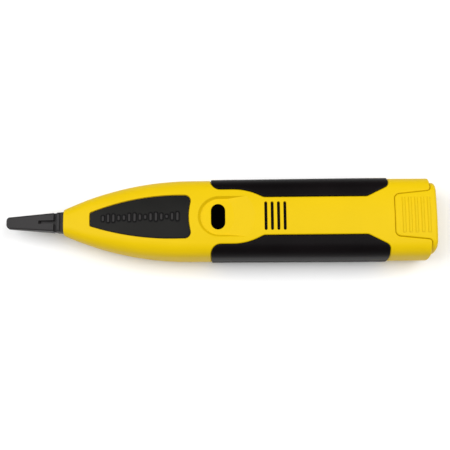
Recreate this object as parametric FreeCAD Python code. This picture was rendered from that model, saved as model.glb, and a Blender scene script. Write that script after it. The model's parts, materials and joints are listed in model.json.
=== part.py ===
"""Hand-held tone tracing probe: a battery-powered cable tracer with a conductive tip, a speaker and a push switch.

The tool lies on its back. +X runs from the tip to the battery door, +Y to the volume wheel's side and +Z out of
the front face. The origin is under the middle of the tool, on the plane that it rests on. Millimetres throughout.

Two moulded shells meet at MID_Z. Everything that follows the case's curved surface is cut from skin(offset),
which is the case's outer form grown or shrunk by offset, so shells, grips, inlay and door always agree.
"""

import FreeCAD
import Part

import math
import os

Vector = FreeCAD.Vector

# Case: overall form
LENGTH = 251.0
TIP_END_X = -LENGTH / 2
CAP_END_X = LENGTH / 2
NOSE_X = -91.5
REAR_X = 122.0
HALF_WIDTH = 23.78
FRONT_HALF_WIDTH = 23.43
NOSE_HALF_WIDTH = 7.62
WIDTH_SHOULDER_X = -17.4
STRAIGHT_X = 85.0
HALF_HEIGHT = 16.75
NOSE_HALF_HEIGHT = 6.2
HEIGHT_SHOULDER_X = -12.0
MID_Z = 16.25
TOP_Z = MID_Z + HALF_HEIGHT
WALL = 2.4
CROWN_RADIUS = 90.0
SIDE_CROWN_RADIUS = 45.0
CORNER_SHARE = 0.52
NOSE_CORNER_SHARE = 0.78
STATIONS = 19
REAR_ROUND = 1.0
NOSE_ROUND = 0.5
PARTING_GAP = 0.05
SEAM_WIDTH = 0.4
SEAM_DEPTH = 0.3

# Soft grips, one on each side of each shell
GRIP_PROUD = 0.55
GRIP_BED = 1.1
BOND_GAP = 0.05
GRIP_CORNERS = (
    (-3.8, 30.0, 0),
    (-5.8, 16.0, 5.6),
    (15.3, 16.0, 33.0),
    (25.7, 11.15, 3.0),
    (85.3, 11.15, 3.0),
    (97.9, 17.4, 3.4),
    (97.9, 30.0, 0),
)

# Nose inlay
INLAY_CORNERS = (
    (-75.5, -4.0, 1.3),
    (-48.3, -13.1, 150.0),
    (-15.8, -12.7, 3.6),
    (-18.4, 0.0, 36.0),
    (-15.8, 12.7, 3.6),
    (-48.3, 13.1, 150.0),
    (-75.5, 4.0, 1.3),
)
INLAY_GAP = 0.2
INLAY_BED = 1.1
BAR_COUNT = 15
BAR_FIRST_X = -67.5
BAR_PITCH = 3.1
BAR_WIDTH = 1.5
BAR_PROUD = 0.6

# Thumb scoop and power button
SCOOP_X = 0.0
SCOOP_RADIUS = 12.5
SCOOP_DEPTH = 2.0
SCOOP_LEAN = 0.75
SCOOP_RAMP_X = 8.5
SCOOP_END_X = 20.5
SCOOP_BACKING = 3.2
BUTTON_X = -0.8
BUTTON_HALF_X = 3.95
BUTTON_HALF_Y = 7.3
BUTTON_GAP = 0.2
BUTTON_FLANGE = 1.2

# Speaker behind its four slots
SPEAKER_X = 32.2
SPEAKER_RADIUS = 14.0
SLOT_COUNT = 4
SLOT_PITCH = 3.65
SLOT_WIDTH = 1.75
SLOT_LENGTH = 16.8

# Battery door
DOOR_GAP = 0.25
TONGUE_GAP = 0.16
TONGUE_REAR_X = REAR_X + DOOR_GAP - 0.03
TONGUE_REACH_Y = 15.6
TONGUE_CORNERS = (
    (101.1, 12.1, 3.0),
    (101.1, -12.1, 3.0),
    (TONGUE_REAR_X, -14.3, 2.4),
    (TONGUE_REAR_X, -40.0, 0),
    (132.0, -40.0, 0),
    (132.0, 40.0, 0),
    (TONGUE_REAR_X, 40.0, 0),
    (TONGUE_REAR_X, 14.3, 2.4),
)
FLANGE_REACH = 1.5
FLANGE_THICKNESS = 1.3
DOOR_LAYER = WALL + 0.15 + FLANGE_THICKNESS
CAP_INSET = 3.0
CAP_ROUND = 2.2
RIB_COUNT = 5
RIB_PITCH = 3.6
RIB_FIRST_X = 106.1
RIB_WIDTH = 2.0
RIB_HEIGHT = 0.65
RIB_HALF_Y = 10.4

# Circuit board and what stands on it
BOARD_FRONT_X = -62.0
BOARD_REAR_X = 48.0
BOARD_HALF_Y = 13.5
BOARD_Z = 17.0
BOARD_THICKNESS = 1.6
BOARD_TOP_Z = BOARD_Z + BOARD_THICKNESS
BOARD_SCREWS = ((-45.0, 0.0), (44.0, 0.0))

# Volume wheel
WHEEL_X = 8.0
WHEEL_RADIUS = 8.0
WHEEL_Y = 16.0
WHEEL_Z = 12.0
WHEEL_THICKNESS = 2.6
WHEEL_NOTCHES = 36

# Case screws
SCREW_PLACES = ((-69.0, 0.0), (-24.0, 14.8), (-24.0, -14.8), (53.5, 7.5), (53.5, -7.5))
SCREW_SEAT_Z = 10.5
SCREW_LENGTH = 10.0
SCREW_RADIUS = 1.3
SCREW_HEAD_RADIUS = 2.6
SCREW_HEAD_HEIGHT = 1.8
BOSS_RADIUS = 3.0
COUNTERBORE_RADIUS = 3.0
COUNTERBORE_BOSS_RADIUS = 4.3

# Tip and its socket
TIP_BASE_X = -91.8
TIP_SLOPE = 0.0787
TIP_END_HALF_Y = 3.35
TIP_END_HALF_Z = 1.9
TIP_BASE_HALF_Z = 4.3
TIP_CORNER = 2.7
GROOVE_X = -97.5
GROOVE_LENGTH = 1.95
GROOVE_DEPTH = 2.6
COLLAR_END_X = -94.1
NECK_DEPTH = 1.2
TIP_SLOT_LENGTH = 9.0
TIP_SLOT_WIDTH = 2.0
TIP_SLOT_DEPTH = 3.1
STUB_RADIUS = 3.54
STUB_END_X = -79.0
SOCKET_BORE = 3.6
SOCKET_RADIUS = 4.8
SOCKET_END_X = -80.5
SOCKET_FLANGE_RADIUS = 5.5

# Battery and its bay
BATTERY_X = 70.4
BATTERY_LENGTH = 46.4
BATTERY_HALF_Y = 13.25
BATTERY_THICKNESS = 17.5
BATTERY_Z = 8.0
BATTERY_STUD_SPACING = 12.7
PARTITION_X = 58.5
PARTITION_THICKNESS = 1.5
LEAD_NOTCH = (-17.4, -12.6)


# ---------------------------------------------------------------- small helpers


def box(x0, x1, y0, y1, z0, z1):
    return Part.makeBox(x1 - x0, y1 - y0, z1 - z0, Vector(x0, y0, z0))


def rod(radius, x, y, z0, z1):
    """A cylinder standing on z0 and reaching z1."""
    return Part.makeCylinder(radius, z1 - z0, Vector(x, y, z0))


def axle(radius, x0, x1, y=0.0, z=MID_Z):
    """A cylinder lying along X."""
    return Part.makeCylinder(radius, x1 - x0, Vector(x0, y, z), Vector(1, 0, 0))


def prism(wire, z0, z1):
    """The closed outline, which lies at z = 0, raised from z0 to z1."""
    face = Part.Face(wire)
    face.translate(Vector(0, 0, z0))
    return face.extrude(Vector(0, 0, z1 - z0))


def point(x, y):
    return Vector(x, y, 0)


def line(a, b):
    return Part.makeLine(a, b)


def outline(corners, grow=0.0):
    """A closed outline through (x, y, radius) corners, counter-clockwise, each side moved out by grow."""
    count = len(corners)
    points = [point(x, y) for x, y, _ in corners]
    sides = [(points[(i + 1) % count] - points[i]).normalize() for i in range(count)]
    moved = []
    for i in range(count):
        before = Vector(sides[i - 1].y, -sides[i - 1].x, 0)
        after = Vector(sides[i].y, -sides[i].x, 0)
        moved.append(points[i] + (before + after) * (grow / (1 + before.dot(after))))
    bends = []
    for i, (_, _, radius) in enumerate(corners):
        if radius <= 0:
            bends.append((moved[i], None, moved[i]))
            continue
        outward = sides[i - 1].cross(sides[i]).z > 0
        radius += grow if outward else -grow
        half = (math.pi - sides[i - 1].getAngle(sides[i])) / 2
        reach = radius / math.tan(half)
        inward = (sides[i] - sides[i - 1]).normalize()
        middle = moved[i] + inward * (radius / math.sin(half) - radius)
        bends.append((moved[i] - sides[i - 1] * reach, middle, moved[i] + sides[i] * reach))
    edges = []
    for i, (start, middle, end) in enumerate(bends):
        if middle is not None:
            edges.append(Part.Arc(start, middle, end).toShape())
        edges.append(line(end, bends[(i + 1) % count][0]))
    return Part.Wire(edges)


def stadium(x, y, half_x, half_y):
    """An upright slot outline: straight sides along Y with round ends of radius half_x."""
    reach = half_y - half_x
    return Part.Wire(
        [
            line(point(x + half_x, y - reach), point(x + half_x, y + reach)),
            Part.Arc(
                point(x + half_x, y + reach), point(x, y + half_y), point(x - half_x, y + reach)
            ).toShape(),
            line(point(x - half_x, y + reach), point(x - half_x, y - reach)),
            Part.Arc(
                point(x - half_x, y - reach), point(x, y - half_y), point(x + half_x, y - reach)
            ).toShape(),
        ]
    )


def mirrored(shape):
    """The shape on the other side of the tool's middle plane."""
    return shape.mirror(Vector(0, 0, 0), Vector(0, 1, 0))


def fillet_where(shape, radius, wanted):
    """Rounds the edges that wanted(edge) picks, and says so if it can't."""
    edges = [edge for edge in shape.Edges if wanted(edge)]
    try:
        done = shape.makeFillet(radius, edges)
    except Part.OCCError:
        print("could not round", len(edges), "edges by", radius)
        return shape
    if not done.isValid() or done.Volume <= 0:
        print("rounding by", radius, "was not valid")
        return shape
    return done


def lead(points, bend, radius):
    """A wire along straight runs joined by arcs of the given bend radius."""
    points = [Vector(*p) for p in points]
    edges = []
    start = points[0]
    for before, corner, after in zip(points, points[1:], points[2:]):
        back = (before - corner).normalize()
        on = (after - corner).normalize()
        half = back.getAngle(on) / 2
        reach = bend / math.tan(half)
        middle = corner + (back + on).normalize() * (bend / math.sin(half) - bend)
        edges.append(line(start, corner + back * reach))
        start = corner + on * reach
        edges.append(Part.Arc(corner + back * reach, middle, start).toShape())
    edges.append(line(start, points[-1]))
    path = Part.Wire(edges)
    profile = Part.Wire([Part.makeCircle(radius, points[0], points[1] - points[0])])
    return path.makePipeShell([profile], True, False)


# ---------------------------------------------------------------- the case's form


def ogive(x, full, nose, shoulder):
    """full behind the shoulder, then a circular arc down to nose at NOSE_X."""
    if x >= shoulder:
        return full
    run = shoulder - NOSE_X
    drop = full - nose
    radius = (run * run + drop * drop) / (2 * drop)
    return full - radius + math.sqrt(radius * radius - (shoulder - x) ** 2)


def half_width(x):
    """The nose's arc up to the shoulder, then a slight flare to the straight rear part."""
    share = (x - WIDTH_SHOULDER_X) / (STRAIGHT_X - WIDTH_SHOULDER_X)
    share = min(1.0, max(0.0, share))
    flare = (HALF_WIDTH - FRONT_HALF_WIDTH) * share * share * (3 - 2 * share)
    return ogive(x, FRONT_HALF_WIDTH, NOSE_HALF_WIDTH, WIDTH_SHOULDER_X) + flare


def half_height(x):
    return ogive(x, HALF_HEIGHT, NOSE_HALF_HEIGHT, HEIGHT_SHOULDER_X)


def unit(y, z):
    length = math.hypot(y, z)
    return y / length, z / length


def corner_centre(a, b, crown, side, corner):
    """Where the corner arc's centre lies, so that it meets the top and side arcs with no kink."""
    top, flank = crown - corner, side - corner
    dy, dz = a - side, crown - b
    apart = math.hypot(dy, dz)
    along = (top * top - flank * flank + apart * apart) / (2 * apart)
    across = math.sqrt(top * top - along * along)
    return (along * dy + across * dz) / apart, b - crown + (along * dz - across * dy) / apart


def section(x, a, b, crown, side, corner, centre_z, offset=0.0):
    """A crowned round-cornered rectangle in the plane at x: eight arcs, all tangent."""
    cy, cz = corner_centre(a, b, crown, side, corner)
    if cy < 0 or cz < 0:
        raise ValueError("the section's arcs do not meet")
    to_top = unit(cy, cz - (b - crown))
    to_side = unit(cy - (a - side), cz)
    to_middle = unit(to_top[0] + to_side[0], to_top[1] + to_side[1])
    reach = corner + offset
    top, middle, flank = (
        (cy + reach * y, cz + reach * z) for y, z in (to_top, to_middle, to_side)
    )
    a += offset
    b += offset

    def arc(p, q, r):
        return Part.Arc(*(Vector(x, y, centre_z + z) for y, z in (p, q, r))).toShape()

    def flip(p, sign_y, sign_z):
        return p[0] * sign_y, p[1] * sign_z

    edges = [arc(flip(top, -1, 1), (0, b), top)]
    edges.append(arc(top, middle, flank))
    edges.append(arc(flank, (a, 0), flip(flank, 1, -1)))
    edges.append(arc(flip(flank, 1, -1), flip(middle, 1, -1), flip(top, 1, -1)))
    edges.append(arc(flip(top, 1, -1), (0, -b), flip(top, -1, -1)))
    edges.append(arc(flip(top, -1, -1), flip(middle, -1, -1), flip(flank, -1, -1)))
    edges.append(arc(flip(flank, -1, -1), (-a, 0), flip(flank, -1, 1)))
    edges.append(arc(flip(flank, -1, 1), flip(middle, -1, 1), flip(top, -1, 1)))
    return Part.Wire(edges)


def case_section(x, offset):
    a, b = half_width(x), half_height(x)
    taper = max(0.0, (WIDTH_SHOULDER_X - x) / (WIDTH_SHOULDER_X - NOSE_X))
    share = CORNER_SHARE + (NOSE_CORNER_SHARE - CORNER_SHARE) * taper
    crown = CROWN_RADIUS * a / HALF_WIDTH
    side = SIDE_CROWN_RADIUS * b / HALF_HEIGHT
    return section(x, a, b, crown, side, share * b, MID_Z, offset)


_forms = {}
_skins = {}


def form(offset):
    """The case's outer form as one solid, grown by offset."""
    key = round(offset, 4)
    if key not in _forms:
        step = (CAP_END_X - NOSE_X) / (STATIONS - 1)
        wires = [case_section(NOSE_X + step * i, offset) for i in range(STATIONS)]
        _forms[key] = Part.makeLoft(wires, True, False, False, 3)
    return _forms[key]


def skin(offset):
    """The same form with its back cut flat, so that the tool rests on it."""
    key = round(offset, 4)
    if key not in _skins:
        rest = max(0.0, -offset)
        _skins[key] = form(offset).cut(box(NOSE_X - 5, CAP_END_X + 5, -40, 40, -20, rest))
    return _skins[key]


def steep_between(shape, edge):
    """True where the edge's two faces meet at a real corner, not smoothly."""
    faces = shape.ancestorsOfType(edge, Part.Face)
    if len(faces) != 2:
        return False
    middle = edge.valueAt((edge.FirstParameter + edge.LastParameter) / 2)
    normals = [face.normalAt(*face.Surface.parameter(middle)) for face in faces]
    return 0.35 < normals[0].getAngle(normals[1]) < math.pi - 0.2


def soften_rim(shape, surface, radius, region=None):
    """Rounds the corners that lie on the surface, within the region box if one is given."""

    def wanted(edge):
        middle = edge.valueAt((edge.FirstParameter + edge.LastParameter) / 2)
        if region and not region.isInside(middle):
            return False
        on_surface = surface.Shells[0].distToShape(Part.Vertex(middle))[0] < 1e-3
        return on_surface and steep_between(shape, edge)

    return fillet_where(shape, radius, wanted)


def between(outer, inner, region):
    """The layer of region that lies inside skin(outer) and outside skin(inner)."""
    return region.common(skin(outer)).cut(skin(inner))


def both_sides(region):
    return region.fuse(mirrored(region))


# ---------------------------------------------------------------- features shared by the shells


def grip_region(grow=0.0):
    """The +Y grip seen from the front, open past the side of the case."""
    return prism(outline(GRIP_CORNERS, grow), -5, TOP_Z + 5)


def front_half():
    return box(NOSE_X - 5, REAR_X + 5, -40, 40, MID_Z, TOP_Z + 10)


def back_half():
    return box(NOSE_X - 5, REAR_X + 5, -40, 40, -10, MID_Z - PARTING_GAP)


def hollow_case():
    """Both shells' walls in one piece: solid at the nose, open at the rear with a rounded rim."""
    form = skin(0).cut(box(REAR_X, REAR_X + 9, -40, 40, -10, 60))
    form = fillet_where(form, REAR_ROUND, lambda e: e.BoundBox.XMin > REAR_X - 1e-3)
    form = fillet_where(form, NOSE_ROUND, lambda e: e.BoundBox.XMax < NOSE_X + 1e-3)
    return form.cut(skin(-WALL).common(box(SOCKET_END_X, REAR_X + 5, -40, 40, -10, 60)))


def socket_seat():
    """The stepped bore that the tip's socket is clamped in."""
    seat = axle(SOCKET_RADIUS + BOND_GAP, NOSE_X - 1, SOCKET_END_X + 0.1)
    flange = axle(SOCKET_FLANGE_RADIUS + BOND_GAP, -86.05, -84.45)
    return seat.fuse(flange)


def grip_beds():
    """What both shells lose so that the grips sit in them."""
    return both_sides(grip_region(BOND_GAP)).cut(skin(-GRIP_BED))


def seam():
    """The fine groove round the case where the shells meet."""
    slab = box(NOSE_X + 0.5, REAR_X + 5, -40, 40, MID_Z - SEAM_WIDTH / 2, MID_Z + SEAM_WIDTH / 2)
    return slab.cut(skin(-SEAM_DEPTH))


def partition(z0, z1):
    wall = box(PARTITION_X, PARTITION_X + PARTITION_THICKNESS, -40, 40, z0, z1)
    return wall.common(skin(-WALL / 2))


def scoop_outline(radius):
    """The scoop seen from the front: a round nose and straight sides that run on past its end."""
    end = SCOOP_END_X + 12
    return Part.Wire(
        [
            line(point(end, -radius), point(end, radius)),
            line(point(end, radius), point(SCOOP_X, radius)),
            Part.Arc(
                point(SCOOP_X, radius), point(SCOOP_X - radius, 0), point(SCOOP_X, -radius)
            ).toShape(),
            line(point(SCOOP_X, -radius), point(end, -radius)),
        ]
    )


def scoop_cutter():
    """Sloping walls, a floor that follows the crown, and a ramp that brings it back up."""
    half = 5.0
    low = scoop_outline(SCOOP_RADIUS - half * SCOOP_LEAN)
    high = scoop_outline(SCOOP_RADIUS + half * SCOOP_LEAN)
    low.translate(Vector(0, 0, TOP_Z - half))
    high.translate(Vector(0, 0, TOP_Z + half))
    slope = SCOOP_DEPTH / (SCOOP_END_X - SCOOP_RAMP_X)
    x0, x1 = SCOOP_RAMP_X - 25, SCOOP_END_X + 20
    ramp = Part.makePolygon(
        [
            Vector(x0, -30, TOP_Z + slope * (x0 - SCOOP_END_X)),
            Vector(x1, -30, TOP_Z + slope * (x1 - SCOOP_END_X)),
            Vector(x1, -30, 0),
            Vector(x0, -30, 0),
            Vector(x0, -30, TOP_Z + slope * (x0 - SCOOP_END_X)),
        ]
    )
    block = Part.makeLoft([low, high], True, True)
    return block.cut(form(-SCOOP_DEPTH)).cut(Part.Face(ramp).extrude(Vector(0, 60, 0)))


def scoop_underside():
    """Height of the flat underside of the thickened wall round the button."""
    return TOP_Z - SCOOP_DEPTH - SCOOP_BACKING


# ---------------------------------------------------------------- shells


def front_shell():
    shell = hollow_case().common(front_half())
    backing = prism(scoop_outline(SCOOP_RADIUS + 1.4), scoop_underside(), TOP_Z)
    backing = backing.cut(box(SCOOP_X + 16, 60, -40, 40, 0, 60)).common(skin(-WALL / 2))
    ring = rod(SPEAKER_RADIUS + 1.5, SPEAKER_X, 0, 24.5, TOP_Z)
    ring = ring.cut(rod(SPEAKER_RADIUS + 0.25, SPEAKER_X, 0, 20, TOP_Z)).common(skin(-WALL / 2))
    shell = shell.fuse([backing, ring, partition(MID_Z, TOP_Z)])
    for x, y in SCREW_PLACES:
        shell = shell.fuse(rod(BOSS_RADIUS, x, y, MID_Z, TOP_Z).common(skin(-WALL / 2)))
    hold_down = box(78, 79.6, -10, 10, BATTERY_Z + BATTERY_THICKNESS + 0.4, TOP_Z)
    shell = shell.fuse(hold_down.common(skin(-WALL / 2)))
    for x, y in SCREW_PLACES:
        shell = shell.cut(rod(SCREW_RADIUS, x, y, MID_Z - 1, SCREW_SEAT_Z + SCREW_LENGTH + 0.5))
    shell = shell.cut(prism(outline(INLAY_CORNERS, INLAY_GAP), MID_Z, 50).cut(skin(-INLAY_BED)))
    shell = shell.cut(grip_beds())
    shell = shell.cut(scoop_cutter())
    hole = stadium(BUTTON_X, 0, BUTTON_HALF_X + BUTTON_GAP, BUTTON_HALF_Y + BUTTON_GAP)
    shell = shell.cut(prism(hole, 20, 50))
    for i in range(SLOT_COUNT):
        x = SPEAKER_X + (i - (SLOT_COUNT - 1) / 2) * SLOT_PITCH
        shell = shell.cut(prism(stadium(x, 0, SLOT_WIDTH / 2, SLOT_LENGTH / 2), 28, 50))
    shell = shell.cut(prism(outline(TONGUE_CORNERS, TONGUE_GAP), MID_Z - 1, 50))
    shell = shell.cut(socket_seat()).cut(seam())
    shell = soften_rim(shell, form(0.0), 0.4, FreeCAD.BoundBox(-14, -12.8, 20, 14, 12.8, 40))
    return soften_rim(shell, form(0.0), 0.8, FreeCAD.BoundBox(95, -20, 25, 121, 20, 40))


def counterbore(x, y):
    """What a case screw needs from the back: room for its head, then for its shank."""
    return rod(COUNTERBORE_RADIUS, x, y, -5, SCREW_SEAT_Z).fuse(
        rod(SCREW_RADIUS + 0.3, x, y, SCREW_SEAT_Z - 1, MID_Z + 1)
    )


def wheel_window():
    """The slot that the volume wheel shows through, and the finger recess round it."""
    low = WHEEL_Z - 0.4
    high = WHEEL_Z + WHEEL_THICKNESS + 0.4
    slot = box(WHEEL_X - 7.6, WHEEL_X + 7.6, WHEEL_Y + 1, 40, low, high)
    recess_y = FRONT_HALF_WIDTH + GRIP_PROUD + 10.08
    return slot.fuse(rod(12.0, WHEEL_X, recess_y, low - 1.6, MID_Z + 1))


def battery_envelope():
    return box(
        BATTERY_X - 10,
        REAR_X + 5,
        -BATTERY_HALF_Y - 0.3,
        BATTERY_HALF_Y + 0.3,
        BATTERY_Z - 0.05,
        60,
    )


def back_shell():
    shell = hollow_case().common(back_half())
    top = MID_Z - PARTING_GAP
    pieces = [partition(0, top)]
    for x, y in SCREW_PLACES:
        pieces.append(rod(COUNTERBORE_BOSS_RADIUS, x, y, 0, top).common(skin(-WALL / 2)))
    for x, y in BOARD_SCREWS:
        pieces.append(rod(2.8, x, y, WALL - 0.5, BOARD_Z))
    for x in (74.0, 92.0, 110.0):
        rib = box(x, x + 1.6, -40, 40, 0, top).common(skin(-WALL / 2))
        pieces.append(rib.cut(battery_envelope()))
    shell = shell.fuse(pieces)
    for x, y in SCREW_PLACES:
        shell = shell.cut(counterbore(x, y))
    for x, y in BOARD_SCREWS:
        shell = shell.cut(rod(0.9, x, y, 9, BOARD_Z + 1))
    notch = box(PARTITION_X - 1, PARTITION_X + 3, *LEAD_NOTCH, 11.5, MID_Z + 1)
    shell = shell.cut(notch)
    shell = shell.cut(grip_beds())
    shell = shell.cut(wheel_window())
    shell = shell.cut(socket_seat())
    return shell.cut(seam())


# ---------------------------------------------------------------- soft parts of the case


def right_grip(half):
    """The soft grip pad on the +Y side of the front or the back shell."""
    pad = grip_region(-BOND_GAP).common(form(GRIP_PROUD)).cut(form(-GRIP_BED + BOND_GAP))
    if half == "front":
        pad = pad.common(box(-200, 200, -40, 40, MID_Z + PARTING_GAP, 60))
    else:
        pad = pad.common(box(-200, 200, -40, 40, -5, MID_Z - 2 * PARTING_GAP))
    pad = soften_rim(pad, form(GRIP_PROUD), 0.4)
    return pad.cut(box(-200, 200, -40, 40, -5, 0))


def nose_inlay():
    """The inlay, with a raised row of bars like a sound wave along its middle."""
    pad = between(0.0, -INLAY_BED + BOND_GAP, prism(outline(INLAY_CORNERS, -INLAY_GAP), MID_Z, 50))
    pad = soften_rim(pad, form(0.0), 0.3)
    bars = []
    for i in range(BAR_COUNT):
        half = 0.9 + 1.6 * abs(math.sin(0.75 * i + 0.5))
        bar = prism(stadium(BAR_FIRST_X + i * BAR_PITCH, 0, BAR_WIDTH / 2, half), MID_Z, 50)
        bars.append(between(BAR_PROUD, -0.4, bar))
    return pad.fuse(bars)


# ---------------------------------------------------------------- button


def power_button():
    top = TOP_Z - SCOOP_DEPTH + 0.35
    flange_top = scoop_underside() - 0.35
    cap = prism(stadium(BUTTON_X, 0, BUTTON_HALF_X, BUTTON_HALF_Y), flange_top - 1, top)
    cap = fillet_where(cap, 0.7, lambda e: abs(e.BoundBox.ZMin - top) < 1e-3)
    flange = prism(
        stadium(BUTTON_X, 0, BUTTON_HALF_X + BUTTON_FLANGE, BUTTON_HALF_Y + BUTTON_FLANGE),
        flange_top - 1.0,
        flange_top,
    )
    post = rod(2.2, BUTTON_X, 0, switch_top(), flange_top)
    return cap.fuse([flange, post])


def switch_top():
    return BOARD_TOP_Z + 7.4


def switch_body():
    body = box(BUTTON_X - 3, BUTTON_X + 3, -3, 3, BOARD_TOP_Z, BOARD_TOP_Z + 3.5)
    body = body.cut(rod(1.8, BUTTON_X, 0, BOARD_TOP_Z + 0.4, BOARD_TOP_Z + 4))
    legs = []
    for sx in (-1, 1):
        for sy in (-1, 1):
            x = BUTTON_X + sx * 3.25
            y = sy * 2.25
            legs.append(box(x - 0.25, x + 0.25, y - 0.35, y + 0.35, BOARD_TOP_Z, BOARD_TOP_Z + 1.2))
    return body.fuse(legs)


def switch_plunger():
    return rod(1.75, BUTTON_X, 0, BOARD_TOP_Z + 1.4, switch_top())


def switch_dome():
    """A snap dome under the plunger: a thin spherical cap that springs the button back."""
    rise, foot, thickness = 0.9, 1.7, 0.12
    radius = (foot * foot + rise * rise) / (2 * rise)
    low = BOARD_TOP_Z + 0.45
    centre = Vector(BUTTON_X, 0, low + rise - radius)
    dome = Part.makeSphere(radius, centre).cut(Part.makeSphere(radius - thickness, centre))
    return dome.common(rod(foot + 1, BUTTON_X, 0, low, low + 2))


# ---------------------------------------------------------------- volume wheel


def volume_wheel():
    wheel = rod(WHEEL_RADIUS, WHEEL_X, WHEEL_Y, WHEEL_Z, WHEEL_Z + WHEEL_THICKNESS)
    notches = []
    for i in range(WHEEL_NOTCHES):
        angle = 2 * math.pi * i / WHEEL_NOTCHES
        x = WHEEL_X + (WHEEL_RADIUS + 0.18) * math.cos(angle)
        y = WHEEL_Y + (WHEEL_RADIUS + 0.18) * math.sin(angle)
        notches.append(rod(0.45, x, y, WHEEL_Z - 1, WHEEL_Z + WHEEL_THICKNESS + 1))
    wheel = wheel.cut(notches)
    hub = rod(2.5, WHEEL_X, WHEEL_Y, WHEEL_Z, BOARD_Z - 0.4)
    return wheel.fuse(hub).cut(rod(0.95, WHEEL_X, WHEEL_Y, WHEEL_Z - 1, WHEEL_Z + 3.5))


def wheel_screw():
    head = rod(1.9, WHEEL_X, WHEEL_Y, WHEEL_Z - 1.1, WHEEL_Z)
    slot = box(WHEEL_X - 2, WHEEL_X + 2, WHEEL_Y - 0.25, WHEEL_Y + 0.25, WHEEL_Z - 2, WHEEL_Z - 0.6)
    return head.cut(slot).fuse(rod(0.9, WHEEL_X, WHEEL_Y, WHEEL_Z, WHEEL_Z + 3.2))


def volume_pot():
    low = WHEEL_Z + WHEEL_THICKNESS + 0.2
    body = box(WHEEL_X - 4.6, WHEEL_X + 4.6, WHEEL_Y - 4.6, WHEEL_Y + 4.4, low, BOARD_Z)
    body = body.cut(rod(2.56, WHEEL_X, WHEEL_Y, low - 1, BOARD_Z + 1))
    return body


# ---------------------------------------------------------------- battery door


def door_section(x, grow=0.0):
    """The end cap's outline: narrower than the case at the sides and back, flush at the top."""
    low = CAP_INSET - grow
    high = TOP_Z
    half_z = (high - low) / 2
    return section(
        x, HALF_WIDTH - CAP_INSET + grow, half_z, CROWN_RADIUS, 40.0, 7.5, (high + low) / 2
    )


def straight(offset):
    """The rear part of skin(offset), where the case is straight, as a plain extrusion."""
    block = Part.Face(case_section(90.0, offset)).extrude(Vector(CAP_END_X - 90, 0, 0))
    return block.cut(box(80, CAP_END_X + 5, -40, 40, -20, max(0.0, -offset)))


def battery_door():
    front = REAR_X + DOOR_GAP
    cap = Part.Face(door_section(front)).extrude(Vector(CAP_END_X - front, 0, 0))
    cap = fillet_where(cap, CAP_ROUND, lambda e: e.BoundBox.XMin > CAP_END_X - 1e-3)
    cap = fillet_where(cap, 0.4, lambda e: e.BoundBox.XMax < front + 1e-3)
    end = front + 0.8
    reach = box(90, end, -TONGUE_REACH_Y, TONGUE_REACH_Y, 0, 60)
    tongue = prism(outline(TONGUE_CORNERS), 26, 50).common(reach)
    tongue = tongue.common(straight(0.0)).cut(straight(-DOOR_LAYER))
    rim = FreeCAD.BoundBox(90, -40, 20, end - 0.1, 40, 60)
    tongue = soften_rim(tongue, straight(0.0), 0.8, rim)
    flange = prism(outline(TONGUE_CORNERS, FLANGE_REACH), 26, 50).common(reach)
    flange = flange.common(straight(-WALL - 0.15)).cut(straight(-DOOR_LAYER))
    plug = box(117.5, end, -40, 40, 0, 60)
    plug = plug.common(straight(-WALL - 0.25)).cut(straight(-WALL - 1.65))
    return cap.fuse([tongue, flange, plug, *door_ribs()])


def door_ribs():
    """Low rounded ribs across the tongue: rings that share the crown's centre line."""
    radius = (RIB_WIDTH * RIB_WIDTH / 4 + RIB_HEIGHT * RIB_HEIGHT) / (2 * RIB_HEIGHT)
    ribs = []
    for i in range(RIB_COUNT):
        x = RIB_FIRST_X + i * RIB_PITCH
        ring = Part.makeTorus(
            CROWN_RADIUS + RIB_HEIGHT - radius,
            radius,
            Vector(x, 0, TOP_Z - CROWN_RADIUS),
            Vector(1, 0, 0),
        )
        ribs.append(ring.common(prism(stadium(x, 0, RIB_WIDTH / 2, RIB_HALF_Y), TOP_Z - 2, TOP_Z + 2)))
    return ribs


def door_pad():
    """The foam pad under the tongue that presses on the battery."""
    pad = box(103, 115, -9, 9, BATTERY_Z + BATTERY_THICKNESS + 0.3, TOP_Z)
    return pad.common(skin(-DOOR_LAYER - 0.02))


# ---------------------------------------------------------------- tip and its contact


def tip_half_y(x):
    return TIP_END_HALF_Y + TIP_SLOPE * (x - TIP_END_X)


def tip_half_z(x):
    share = (x - TIP_END_X) / (TIP_BASE_X - TIP_END_X)
    return TIP_END_HALF_Z + (TIP_BASE_HALF_Z - TIP_END_HALF_Z) * share


def tip_section(x, radius):
    """A rounded rectangle across the tip at x."""
    half_y, half_z = tip_half_y(x), tip_half_z(x)
    flat = outline(
        (
            (-half_y, -half_z, radius),
            (half_y, -half_z, radius),
            (half_y, half_z, radius),
            (-half_y, half_z, radius),
        )
    )
    turn = FreeCAD.Rotation(Vector(0, 1, 0), Vector(0, 0, 1), Vector(1, 0, 0), "YZX")
    flat.Placement = FreeCAD.Placement(Vector(x, 0, MID_Z), turn)
    return flat


def tip_recess(x0, x1, half_y, side, depth):
    """A cut across one face of the tip, from x0 to x1 and down by depth at x0."""
    floor_z = tip_half_z(x0) - depth
    z0, z1 = sorted((MID_Z + side * floor_z, MID_Z + side * 12))
    return box(x0, x1, -half_y, half_y, z0, z1)


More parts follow.
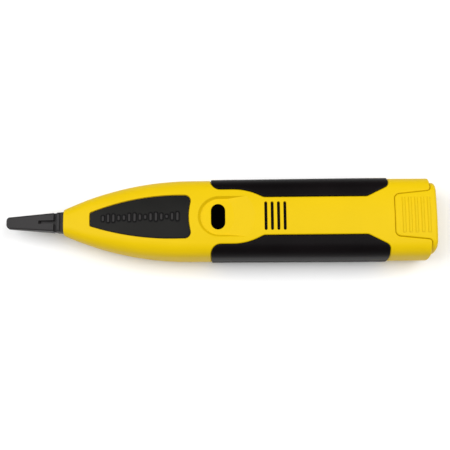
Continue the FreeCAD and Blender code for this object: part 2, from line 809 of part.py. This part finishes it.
def tip_slot(side):
    """The slot along the middle of one face: a short ramp, then level into the groove."""
    half = TIP_SLOT_WIDTH / 2
    start, end = GROOVE_X - TIP_SLOT_LENGTH, GROOVE_X + 0.1
    floor_z = tip_half_z(GROOVE_X) - TIP_SLOT_DEPTH
    ramp = Part.makePolygon(
        [
            Vector(start, -half, MID_Z + side * tip_half_z(start)),
            Vector(start + 1.2, -half, MID_Z + side * floor_z),
            Vector(end, -half, MID_Z + side * floor_z),
            Vector(end, -half, MID_Z + side * 12),
            Vector(start, -half, MID_Z + side * 12),
            Vector(start, -half, MID_Z + side * tip_half_z(start)),
        ]
    )
    return Part.Face(ramp).extrude(Vector(0, TIP_SLOT_WIDTH, 0))


def probe_tip():
    blade = Part.makeLoft(
        [tip_section(TIP_END_X, 0.9), tip_section(TIP_BASE_X, 1.2)], True, True
    )
    end_y = tip_half_y(TIP_END_X)
    plan = outline(
        (
            (TIP_END_X, end_y, TIP_CORNER),
            (TIP_END_X, -end_y, TIP_CORNER),
            (TIP_BASE_X + 5, -9, 0),
            (TIP_BASE_X + 5, 9, 0),
        )
    )
    blade = blade.common(prism(plan, 0, 40))
    for side in (-1, 1):
        groove_end = GROOVE_X + GROOVE_LENGTH
        blade = blade.cut(tip_recess(GROOVE_X, groove_end, 9, side, GROOVE_DEPTH))
        blade = blade.cut(tip_recess(COLLAR_END_X, TIP_BASE_X + 1, 9, side, NECK_DEPTH))
        blade = blade.cut(tip_slot(side))
    stub = axle(STUB_RADIUS, TIP_BASE_X - 0.1, STUB_END_X)
    snap = axle(STUB_RADIUS + 1, -84.0, -83.0).cut(axle(STUB_RADIUS - 0.5, -84.0, -83.0))
    return blade.fuse(stub.cut(snap))


def tip_socket():
    socket = axle(SOCKET_RADIUS, NOSE_X + 0.1, SOCKET_END_X)
    socket = socket.fuse(axle(SOCKET_FLANGE_RADIUS, -86.0, -84.5))
    return socket.cut(axle(SOCKET_BORE, NOSE_X - 1, SOCKET_END_X + 1))


def tip_contact():
    """A light coil spring that carries the signal from the tip's stub to its lead."""
    turns, pitch, radius, wire = 4, 0.9, 2.2, 0.25
    helix = Part.makeHelix(pitch, turns * pitch, radius)
    profile = Part.Wire([Part.makeCircle(wire, Vector(radius, 0, 0), Vector(0, 1, 0.07))])
    coil = Part.Wire(helix).makePipeShell([profile], True, True)
    turn = FreeCAD.Rotation(Vector(0, 0, 1), Vector(1, 0, 0))
    coil.Placement = FreeCAD.Placement(Vector(STUB_END_X + wire + 0.05, 0, MID_Z), turn)
    return coil


def tip_lead():
    """Runs from the contact's last turn, past the first screw boss, to the board."""
    start = STUB_END_X + 4.5
    pad_x = BOARD_FRONT_X + 2.5
    return lead(
        [
            (start, 0.3, MID_Z - 2.2),
            (start, 5.8, MID_Z - 1.6),
            (pad_x - 5, 6.0, BOARD_TOP_Z + 2.2),
            (pad_x, 3.0, BOARD_TOP_Z + 2.2),
            (pad_x, 3.0, BOARD_TOP_Z + 0.02),
        ],
        0.75,
        0.45,
    )


# ---------------------------------------------------------------- circuit board


def board_outline():
    ear_y = WHEEL_Y + 4.6
    taper_x = -40.0
    return outline(
        (
            (BOARD_FRONT_X, -7.5, 1.0),
            (taper_x, -BOARD_HALF_Y, 0),
            (BOARD_REAR_X, -BOARD_HALF_Y, 1.0),
            (BOARD_REAR_X, BOARD_HALF_Y, 1.0),
            (WHEEL_X + 5.4, BOARD_HALF_Y, 0.5),
            (WHEEL_X + 5.4, ear_y, 0.8),
            (WHEEL_X - 5.4, ear_y, 0.8),
            (WHEEL_X - 5.4, BOARD_HALF_Y, 0.5),
            (taper_x, BOARD_HALF_Y, 0),
            (BOARD_FRONT_X, 7.5, 1.0),
        )
    )


def circuit_board():
    board = prism(board_outline(), BOARD_Z, BOARD_TOP_Z)
    for x, y in SCREW_PLACES:
        board = board.cut(rod(BOSS_RADIUS + 0.4, x, y, BOARD_Z - 1, BOARD_TOP_Z + 1))
    for x, y in BOARD_SCREWS:
        board = board.cut(rod(1.1, x, y, BOARD_Z - 1, BOARD_TOP_Z + 1))
    return board


def board_screws():
    screws = []
    for x, y in BOARD_SCREWS:
        head = rod(1.9, x, y, BOARD_TOP_Z, BOARD_TOP_Z + 1.2)
        head = head.cut(cross_slot(x, y, BOARD_TOP_Z + 0.6, BOARD_TOP_Z + 2, 1.3, 0.4))
        screws.append(head.fuse(rod(0.85, x, y, BOARD_Z - 6, BOARD_TOP_Z)))
    return Part.Compound(screws)


def cross_slot(x, y, z0, z1, reach, width):
    half = width / 2
    return box(x - reach, x + reach, y - half, y + half, z0, z1).fuse(
        box(x - half, x + half, y - reach, y + reach, z0, z1)
    )


def amplifier_chip():
    x, y = -14.0, -6.0
    body = box(x - 4.9, x + 4.9, y - 3.2, y + 3.2, BOARD_TOP_Z + 0.4, BOARD_TOP_Z + 3.6)
    body = body.cut(rod(0.8, x - 4.9, y, BOARD_TOP_Z + 3.2, BOARD_TOP_Z + 5))
    pins = []
    for i in range(4):
        pin_x = x + (i - 1.5) * 2.54
        for side in (-1, 1):
            y0, y1 = sorted((y + side * 3.2, y + side * 3.9))
            pins.append(box(pin_x - 0.3, pin_x + 0.3, y0, y1, BOARD_TOP_Z, BOARD_TOP_Z + 2.2))
    return body.fuse(pins)


def capacitors():
    """Three electrolytic cans with scored tops."""
    cans = []
    for x, y, radius, height in ((-34, 6, 3.15, 7.0), (-34, -2, 3.15, 7.0), (-26, 3, 2.5, 5.5)):
        can = rod(radius, x, y, BOARD_TOP_Z + 0.02, BOARD_TOP_Z + height)
        groove = rod(radius + 1, x, y, BOARD_TOP_Z + 1.0, BOARD_TOP_Z + 1.5)
        can = can.cut(groove.cut(rod(radius - 0.25, x, y, BOARD_TOP_Z, BOARD_TOP_Z + 3)))
        score = cross_slot(x, y, BOARD_TOP_Z + height - 0.2, BOARD_TOP_Z + height + 1, radius * 0.6, 0.3)
        cans.append(can.cut(score))
    return Part.Compound(cans)


def chip_parts():
    """The small surface-mounted resistors and capacitors."""
    places = [(-56, -3), (-56, 3), (-52, -5), (-52, 0), (-52, 5), (-40, -8), (-40, 8.5)]
    places += [(-24, -7), (-20, 8), (-14, 5), (-8, 8), (-8, -8), (8, -6), (12, -6), (8, 0)]
    places += [(12, 3), (22, 10.5), (28, -10.5), (36, 10.5)]
    parts = []
    for x, y in places:
        parts.append(box(x - 1.0, x + 1.0, y - 0.6, y + 0.6, BOARD_TOP_Z + 0.02, BOARD_TOP_Z + 0.65))
    return Part.Compound(parts)


# ---------------------------------------------------------------- speaker


def speaker_frame():
    """A pressed basket: a flat rim, a cone and a floor with a hole for the magnet's pole."""
    rim_z = 28.2
    profile = [
        (14.0, rim_z),
        (14.0, rim_z + 0.7),
        (12.6, rim_z + 0.7),
        (12.6, rim_z),
        (10.4, 24.9),
        (7.5, 24.9),
        (7.5, 24.3),
        (10.7, 24.3),
        (13.0, rim_z - 0.4),
        (14.0, rim_z - 0.4),
    ]
    points = [Vector(r, 0, z) for r, z in profile]
    face = Part.Face(Part.makePolygon([*points, points[0]]))
    return placed_at_speaker(face.revolve(Vector(0, 0, 0), Vector(0, 0, 1), 360))


def speaker_cone():
    """The moving film: a dome, a trough and an outer roll, all thin."""
    low, thickness = 26.6, 0.15
    outline = [(0.0, low + 1.6), (2.6, low + 1.1), (4.6, low), (11.6, low + 1.5), (12.4, low + 1.7)]
    upper = [Vector(r, 0, z + thickness) for r, z in reversed(outline)]
    lower = [Vector(r, 0, z) for r, z in outline]
    face = Part.Face(Part.makePolygon([*lower, *upper, lower[0]]))
    return placed_at_speaker(face.revolve(Vector(0, 0, 0), Vector(0, 0, 1), 360))


def speaker_magnet():
    magnet = rod(7.0, SPEAKER_X, 0, 20.9, 24.25)
    return magnet.fuse(rod(4.0, SPEAKER_X, 0, 24.2, 25.6))


def speaker_gasket():
    """A foam ring between the speaker's rim and the front shell's crowned underside."""
    ring = rod(13.9, SPEAKER_X, 0, 28.95, TOP_Z).cut(rod(12.2, SPEAKER_X, 0, 28, TOP_Z + 1))
    return ring.common(skin(-WALL - 0.03))


def dust_cloth():
    return rod(12.1, SPEAKER_X, 0, 29.1, 29.35)


def placed_at_speaker(shape):
    shape.translate(Vector(SPEAKER_X, 0, 0))
    return shape


def speaker_leads():
    x = SPEAKER_X - 9.5
    leads = []
    for y in (-2.5, 2.5):
        leads.append(
            lead(
                [
                    (x, y, 24.27),
                    (x, y, 22.6),
                    (x - 3.4, y, 21.2),
                    (x - 3.4, y, BOARD_TOP_Z + 0.02),
                ],
                0.9,
                0.4,
            )
        )
    return Part.Compound(leads)


# ---------------------------------------------------------------- battery


def battery_case():
    case = box(
        BATTERY_X,
        BATTERY_X + BATTERY_LENGTH,
        -BATTERY_HALF_Y,
        BATTERY_HALF_Y,
        BATTERY_Z,
        BATTERY_Z + BATTERY_THICKNESS,
    )
    return fillet_where(case, 1.6, lambda e: abs(e.Length - BATTERY_LENGTH) < 1e-3)


def battery_mid_z():
    return BATTERY_Z + BATTERY_THICKNESS / 2


def battery_studs():
    """The snap terminals: a round stud and a wider crown."""
    z = battery_mid_z()
    y = BATTERY_STUD_SPACING / 2
    stud = axle(2.8, BATTERY_X - 2.0, BATTERY_X, y, z)
    crown = axle(3.9, BATTERY_X - 2.0, BATTERY_X, -y, z)
    crown = crown.cut(axle(2.95, BATTERY_X - 3, BATTERY_X - 0.5, -y, z))
    return Part.Compound([stud, crown])


def battery_snap():
    """The clip that carries the leads, with a socket for each stud."""
    z = battery_mid_z()
    plate = box(BATTERY_X - 4.6, BATTERY_X - 0.4, -12.4, 12.4, z - 5.6, z + 5.6)
    plate = fillet_where(plate, 2.5, lambda e: abs(e.Length - 4.2) < 1e-3)
    for side in (-1, 1):
        y = side * BATTERY_STUD_SPACING / 2
        plate = plate.cut(axle(4.15, BATTERY_X - 2.4, BATTERY_X, y, z))
    return plate


def snap_contacts():
    """The clip's two metal contacts: a ring round the stud and a button inside the crown."""
    z = battery_mid_z()
    y = BATTERY_STUD_SPACING / 2
    x0, x1 = BATTERY_X - 2.35, BATTERY_X - 0.6
    ring = axle(3.7, x0, x1, y, z).cut(axle(2.85, x0 + 0.3, x1 + 1, y, z))
    button = axle(3.9, x0, x0 + 0.3, -y, z).fuse(axle(2.85, x0, x1, -y, z))
    return Part.Compound([ring, button])


def battery_lead(start_y, turn, notch_y, pad):
    """A lead from the clip, through the notch in the partition, to its pad under the board."""
    z = battery_mid_z()
    x = BATTERY_X - 4.65
    return lead(
        [
            (x - 0.02, start_y, z),
            (x - turn, start_y, z),
            (x - turn - 0.8, notch_y, 13.6),
            (PARTITION_X - 4, notch_y, 13.6),
            (BOARD_REAR_X - 1, notch_y, 14.2),
            (pad[0], pad[1], 14.6),
            (pad[0], pad[1], BOARD_Z - 0.02),
        ],
        0.9,
        0.6,
    )


def red_lead():
    return battery_lead(-5.0, 3.2, -13.6, (43.0, -9.5))


def black_lead():
    return battery_lead(-9.5, 1.1, -15.4, (40.0, -11.5))


# ---------------------------------------------------------------- case screws


def case_screw(x, y):
    head_z = SCREW_SEAT_Z - SCREW_HEAD_HEIGHT
    head = rod(SCREW_HEAD_RADIUS, x, y, head_z, SCREW_SEAT_Z)
    head = fillet_where(head, 0.9, lambda e: abs(e.BoundBox.ZMax - head_z) < 1e-3)
    head = head.cut(cross_slot(x, y, head_z - 1, head_z + 1.0, 1.5, 0.6))
    return head.fuse(rod(SCREW_RADIUS - 0.03, x, y, SCREW_SEAT_Z, SCREW_SEAT_Z + SCREW_LENGTH))


def case_screws():
    return Part.Compound([case_screw(x, y) for x, y in SCREW_PLACES])


# ---------------------------------------------------------------- build

NODES = {
    "front_shell": front_shell,
    "back_shell": back_shell,
    "front_grip_left": lambda: mirrored(right_grip("front")),
    "front_grip_right": lambda: right_grip("front"),
    "back_grip_left": lambda: mirrored(right_grip("back")),
    "back_grip_right": lambda: right_grip("back").cut(wheel_window()),
    "nose_inlay": nose_inlay,
    "power_button": power_button,
    "switch_body": switch_body,
    "switch_plunger": switch_plunger,
    "switch_dome": switch_dome,
    "volume_wheel": volume_wheel,
    "wheel_screw": wheel_screw,
    "volume_pot": volume_pot,
    "battery_door": battery_door,
    "door_pad": door_pad,
    "probe_tip": probe_tip,
    "tip_socket": tip_socket,
    "tip_contact": tip_contact,
    "tip_lead": tip_lead,
    "circuit_board": circuit_board,
    "board_screws": board_screws,
    "amplifier_chip": amplifier_chip,
    "capacitors": capacitors,
    "chip_parts": chip_parts,
    "speaker_frame": speaker_frame,
    "speaker_cone": speaker_cone,
    "speaker_magnet": speaker_magnet,
    "speaker_gasket": speaker_gasket,
    "dust_cloth": dust_cloth,
    "speaker_leads": speaker_leads,
    "battery_case": battery_case,
    "battery_studs": battery_studs,
    "battery_snap": battery_snap,
    "snap_contacts": snap_contacts,
    "red_lead": red_lead,
    "black_lead": black_lead,
    "case_screws": case_screws,
}


def main():
    os.makedirs("parts", exist_ok=True)
    for name, make in NODES.items():
        shape = make()
        solids = shape.Solids
        valid = shape.isValid() and all(s.Volume > 0 for s in solids)
        print(f"{name:18s} solids {len(solids):2d} valid {valid} volume {shape.Volume:9.1f}")
        shape.exportStep(os.path.join("parts", name + ".step"))


main()
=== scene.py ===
"""Looks of the tone tracing probe: procedural materials, soft grips, a pale floor and studio light."""

import json
import math

import bpy
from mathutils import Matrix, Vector


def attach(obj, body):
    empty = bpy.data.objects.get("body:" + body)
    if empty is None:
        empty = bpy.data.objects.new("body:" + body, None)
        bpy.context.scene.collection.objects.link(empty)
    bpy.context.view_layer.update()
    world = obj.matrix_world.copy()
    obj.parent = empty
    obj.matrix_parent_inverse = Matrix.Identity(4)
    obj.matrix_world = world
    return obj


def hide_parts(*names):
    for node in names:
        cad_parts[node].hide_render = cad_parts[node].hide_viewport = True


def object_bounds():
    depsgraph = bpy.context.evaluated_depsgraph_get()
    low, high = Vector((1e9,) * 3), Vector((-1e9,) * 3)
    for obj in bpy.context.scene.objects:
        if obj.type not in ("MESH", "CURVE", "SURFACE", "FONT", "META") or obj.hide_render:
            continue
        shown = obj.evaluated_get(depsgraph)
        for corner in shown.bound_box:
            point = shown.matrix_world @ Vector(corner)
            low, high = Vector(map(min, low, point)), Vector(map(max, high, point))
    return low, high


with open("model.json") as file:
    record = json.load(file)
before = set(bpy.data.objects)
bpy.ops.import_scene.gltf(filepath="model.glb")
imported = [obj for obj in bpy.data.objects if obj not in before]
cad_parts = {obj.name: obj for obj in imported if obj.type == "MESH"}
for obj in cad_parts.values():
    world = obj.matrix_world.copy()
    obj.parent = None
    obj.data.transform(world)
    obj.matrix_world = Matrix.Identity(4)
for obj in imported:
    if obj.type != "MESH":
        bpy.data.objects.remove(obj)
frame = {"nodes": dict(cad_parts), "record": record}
low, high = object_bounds()

# ---------------------------------------------------------------- materials

YELLOW = (0.70, 0.478, 0.002)
DRIFT_SCALE = 35.0  # slow changes of colour over the part, per metre
ROUGHNESS_SPREAD = 0.06
GRAIN_STRENGTH = 0.35


def grey(level):
    return (level,) * 3


def shade(base, factor):
    return tuple(c * factor for c in base)


def material(name):
    made = bpy.data.materials.new(name)
    made.use_nodes = True
    tree = made.node_tree
    return made, tree, tree.nodes["Principled BSDF"]


def node(tree, kind, **values):
    """Add a node. A value is set on the input of that name, or else on the node itself."""
    made = tree.nodes.new(kind)
    for key, value in values.items():
        if key in made.inputs:
            made.inputs[key].default_value = value
        else:
            setattr(made, key, value)
    return made


def noise(tree, scale, detail):
    """Noise that stays fixed to the piece, with scale in features per metre."""
    made = node(tree, "ShaderNodeTexNoise", Scale=scale, Detail=detail, Roughness=0.55)
    position = tree.nodes.new("ShaderNodeTexCoord").outputs["Object"]
    tree.links.new(position, made.inputs["Vector"])
    return made.outputs["Fac"]


def span(tree, value, low_in, high_in, low_out, high_out):
    """Map a value from one range to another."""
    made = tree.nodes.new("ShaderNodeMapRange")
    made.inputs["From Min"].default_value = low_in
    made.inputs["From Max"].default_value = high_in
    made.inputs["To Min"].default_value = low_out
    made.inputs["To Max"].default_value = high_out
    tree.links.new(value, made.inputs["Value"])
    return made.outputs["Result"]


def mix(tree, factor, first, second):
    """Blend from the first colour to the second."""
    made = tree.nodes.new("ShaderNodeMix")
    made.data_type = "RGBA"
    tree.links.new(factor, made.inputs["Factor"])
    made.inputs["A"].default_value = (*first, 1)
    made.inputs["B"].default_value = (*second, 1)
    return made.outputs["Result"]


def bump(tree, shader, height, strength, distance):
    made = node(tree, "ShaderNodeBump", Strength=strength, Distance=distance)
    tree.links.new(height, made.inputs["Height"])
    tree.links.new(made.outputs["Normal"], shader.inputs["Normal"])


def surface(name, dark, light, roughness, grain, grain_depth, metallic=0.0, specular=0.5):
    """A material whose colour and roughness drift a little and whose surface has a fine grain."""
    made, tree, shader = material(name)
    drift = noise(tree, DRIFT_SCALE, 3.0)
    colour = mix(tree, span(tree, drift, 0.35, 0.65, 0, 1), dark, light)
    tree.links.new(colour, shader.inputs["Base Color"])
    fine = noise(tree, grain, 2.0)
    rough = span(tree, fine, 0.3, 0.7, roughness - ROUGHNESS_SPREAD, roughness + ROUGHNESS_SPREAD)
    tree.links.new(rough, shader.inputs["Roughness"])
    shader.inputs["Metallic"].default_value = metallic
    shader.inputs["Specular IOR Level"].default_value = specular
    bump(tree, shader, fine, GRAIN_STRENGTH, grain_depth)
    return made


GRIP_DARK, GRIP_LIGHT = (0.003, 0.0022, 0.0025), (0.0045, 0.0033, 0.0037)
INLAY_DARK, INLAY_LIGHT = (0.007, 0.0068, 0.006), (0.010, 0.0096, 0.0085)
TIP_DARK, TIP_LIGHT = (0.014, 0.0125, 0.013), (0.018, 0.016, 0.0166)

# Darker and lighter colour, roughness, grain per metre and grain depth in metres, then metallic and
# specular where they differ from the usual.
SURFACES = {
    "shell_yellow": (shade(YELLOW, 0.97), YELLOW, 0.42, 2600, 0.00003, 0.0, 0.08),
    "grip_rubber": (GRIP_DARK, GRIP_LIGHT, 0.42, 3200, 0.00005, 0.0, 0.06),
    "inlay_rubber": (INLAY_DARK, INLAY_LIGHT, 0.5, 3000, 0.00005, 0.0, 0.1),
    "tip_plastic": (TIP_DARK, TIP_LIGHT, 0.48, 2400, 0.00004, 0.0, 0.25),
    "button_plastic": (grey(0.0003), grey(0.0006), 0.4, 2600, 0.00001, 0.0, 0.0),
    "dark_plastic": (grey(0.02), grey(0.026), 0.45, 2600, 0.00003),
    "board_green": ((0.01, 0.09, 0.035), (0.014, 0.12, 0.05), 0.3, 900, 0.00002),
    "steel": ((0.5, 0.5, 0.52), (0.6, 0.6, 0.62), 0.3, 1500, 0.00001, 1.0),
    "spring_steel": (grey(0.55), grey(0.65), 0.25, 1500, 0.00001, 1.0),
    "tin": ((0.6, 0.6, 0.58), (0.7, 0.7, 0.68), 0.3, 1500, 0.00001, 1.0),
    "can_aluminium": (grey(0.5), grey(0.6), 0.35, 1500, 0.00001, 1.0),
    "ceramic": ((0.3, 0.2, 0.13), (0.36, 0.26, 0.17), 0.5, 1500, 0.00002),
    "cone_film": ((0.03, 0.025, 0.02), (0.045, 0.04, 0.03), 0.5, 900, 0.00003),
    "magnet": (grey(0.4), grey(0.5), 0.2, 900, 0.00001, 1.0),
    "foam": (grey(0.01), grey(0.02), 0.9, 1400, 0.0001),
    "cloth": (grey(0.003), grey(0.005), 0.9, 4000, 0.0001),
    "battery_jacket": ((0.02, 0.025, 0.04), (0.03, 0.035, 0.05), 0.3, 800, 0.00001),
    "red_wire": ((0.4, 0.01, 0.01), (0.5, 0.015, 0.012), 0.4, 900, 0.00002),
    "black_wire": (grey(0.008), grey(0.012), 0.4, 900, 0.00002),
    "screw_steel": (grey(0.1), grey(0.14), 0.35, 1500, 0.00001, 1.0),
}
looks = {name: surface(name, *values) for name, values in SURFACES.items()}

slots = {sub["node"]: sub["material_slot"] for sub in frame["record"]["subparts"]}
for name, slot in slots.items():
    piece = frame["nodes"][name]
    piece.data.materials.clear()
    piece.data.materials.append(looks[slot])

# ---------------------------------------------------------------- soft pieces

FINE_VOXEL = 0.0002
VOXEL = 0.0004
GRIPS = ("front_grip_left", "front_grip_right", "back_grip_left", "back_grip_right")

# The row of raised bars along the middle of the inlay, in metres.
BAR_COUNT = 15
BAR_FIRST_X = -0.0675
BAR_PITCH = 0.0031
BAR_WIDTH = 0.0015
BAR_SHORTEST = 0.0009  # half the length of a bar where the wave crosses zero
BAR_SWELL = 0.0016  # how much half the length grows at the wave's crests
WAVE_STEP = 0.75  # radians from one bar to the next
WAVE_START = 0.5

# Painted highlight on the bar tops and painted shade round their feet: where each colour starts and is
# full, as a distance outside the bar.
BAR_FOOT_SHADE = (0.0011, 0.0006, (0.002, 0.0018, 0.0018))
BAR_TOP_HIGHLIGHT = (0.0001, -0.0003, (0.03, 0.028, 0.028))


def soft_copy(node_name, body, voxel, passes):
    """A moulded rubber or foam piece in place of its CAD solid, with its edges eased by passes."""
    shape = bpy.data.objects.new(node_name + "_soft", frame["nodes"][node_name].data.copy())
    bpy.context.collection.objects.link(shape)
    remesh = shape.modifiers.new("remesh", "REMESH")
    remesh.mode = "VOXEL"
    remesh.voxel_size = voxel
    smooth = shape.modifiers.new("smooth", "SMOOTH")
    smooth.factor = 0.5
    smooth.iterations = passes
    settled = shape.evaluated_get(bpy.context.evaluated_depsgraph_get())
    final = bpy.data.meshes.new_from_object(settled)
    shape.modifiers.clear()
    shape.data = final
    final.materials.clear()
    final.materials.append(looks[slots[node_name]])
    final.polygons.foreach_set("use_smooth", [True] * len(final.polygons))
    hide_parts(node_name)
    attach(shape, body)
    return shape


def bar_distance(x, y):
    """How far a point on the inlay lies outside the nearest of the raised bars."""
    i = min(max(round((x - BAR_FIRST_X) / BAR_PITCH), 0), BAR_COUNT - 1)
    half_length = BAR_SHORTEST + BAR_SWELL * abs(math.sin(WAVE_STEP * i + WAVE_START))
    straight = half_length - BAR_WIDTH / 2
    return math.hypot(x - BAR_FIRST_X - i * BAR_PITCH, max(abs(y) - straight, 0)) - BAR_WIDTH / 2


def paint_bar_highlight_and_shade(inlay):
    """The inlay's raised bars get a painted highlight on top, and the rubber round their feet gets
    painted shade.
    """
    reach = inlay.data.attributes.new("from_bar", "FLOAT", "POINT")
    reach.data.foreach_set("value", [bar_distance(v.co.x, v.co.y) for v in inlay.data.vertices])
    tree = looks["inlay_rubber"].node_tree
    shader = tree.nodes["Principled BSDF"]
    colour = shader.inputs["Base Color"].links[0].from_socket
    distance = node(tree, "ShaderNodeAttribute", attribute_name="from_bar").outputs["Fac"]
    # Painted shade round the bars' feet first, then a painted highlight on their tops.
    for start, full, target in (BAR_FOOT_SHADE, BAR_TOP_HIGHLIGHT):
        blend = mix(tree, span(tree, distance, start, full, 0, 1), grey(0), target)
        tree.links.new(colour, blend.node.inputs["A"])
        colour = blend
    tree.links.new(colour, shader.inputs["Base Color"])


for grip in GRIPS:
    soft_copy(grip, "case", VOXEL, 3)
# The inlay's bars get a painted highlight on top and painted shade round their feet.
paint_bar_highlight_and_shade(soft_copy("nose_inlay", "case", FINE_VOXEL, 3))
soft_copy("door_pad", "door", VOXEL, 6)

# ---------------------------------------------------------------- studio

FLOOR_SIZE = 12
FLOOR_GREY = 0.9
FLOOR_GAP = 0.0004  # keeps the floor from sharing a plane with the part's resting face
LAMP_SIZE = (0.9, 1.2)
WORLD_STRENGTH = 0.2


def floor():
    made, _, shader = material("floor")
    shader.inputs["Base Color"].default_value = (*grey(FLOOR_GREY), 1)
    shader.inputs["Roughness"].default_value = 0.9
    shader.inputs["Specular IOR Level"].default_value = 0.0
    bpy.ops.mesh.primitive_plane_add(size=FLOOR_SIZE, location=(0, 0, low.z - FLOOR_GAP))
    plane = bpy.context.object
    plane.name = "floor"
    plane.data.materials.append(made)


def lamp(name, location, aim, power):
    """A large white area lamp at a location, turned towards aim."""
    data = bpy.data.lights.new(name, "AREA")
    data.shape = "RECTANGLE"
    data.size, data.size_y = LAMP_SIZE
    data.energy = power
    made = bpy.data.objects.new(name, data)
    made.location = location
    made.rotation_euler = (Vector(aim) - Vector(location)).to_track_quat("-Z", "Y").to_euler()
    bpy.context.collection.objects.link(made)


floor()
lamp("left_box", (-0.65, 0.05, 1.0), (-0.05, 0, 0.02), 11.9)
lamp("right_box", (0.65, 0.05, 1.0), (0.05, 0, 0.02), 11.4)

world = bpy.data.worlds.new("studio")
world.use_nodes = True
sky = world.node_tree.nodes["Background"]
sky.inputs["Color"].default_value = (1, 1, 1, 1)
sky.inputs["Strength"].default_value = WORLD_STRENGTH
bpy.context.scene.world = world
bpy.context.scene.view_settings.view_transform = "Standard"

# ---------------------------------------------------------------- camera

DISTANCE = 0.59
TILT = math.radians(11.2)  # how far the view leans from straight above towards -Y
ROLL = math.radians(-0.53)
AIM = Vector((0.00315, -0.00205, 0.01625))
LENS = 80.0
SENSOR_WIDTH = 36.0
CLIP_START = 0.01
CLIP_END = 50.0

eye = bpy.data.objects.new("camera", bpy.data.cameras.new("camera"))
back = Vector((0, -math.sin(TILT), math.cos(TILT)))
eye.rotation_euler = (-back).to_track_quat("-Z", "Y").to_matrix().to_4x4().to_euler()
eye.rotation_euler.rotate_axis("Z", ROLL)
eye.location = AIM + back * DISTANCE
eye.data.lens = LENS
eye.data.sensor_width = SENSOR_WIDTH
eye.data.clip_start = CLIP_START
eye.data.clip_end = CLIP_END
bpy.context.collection.objects.link(eye)
bpy.context.scene.camera = eye
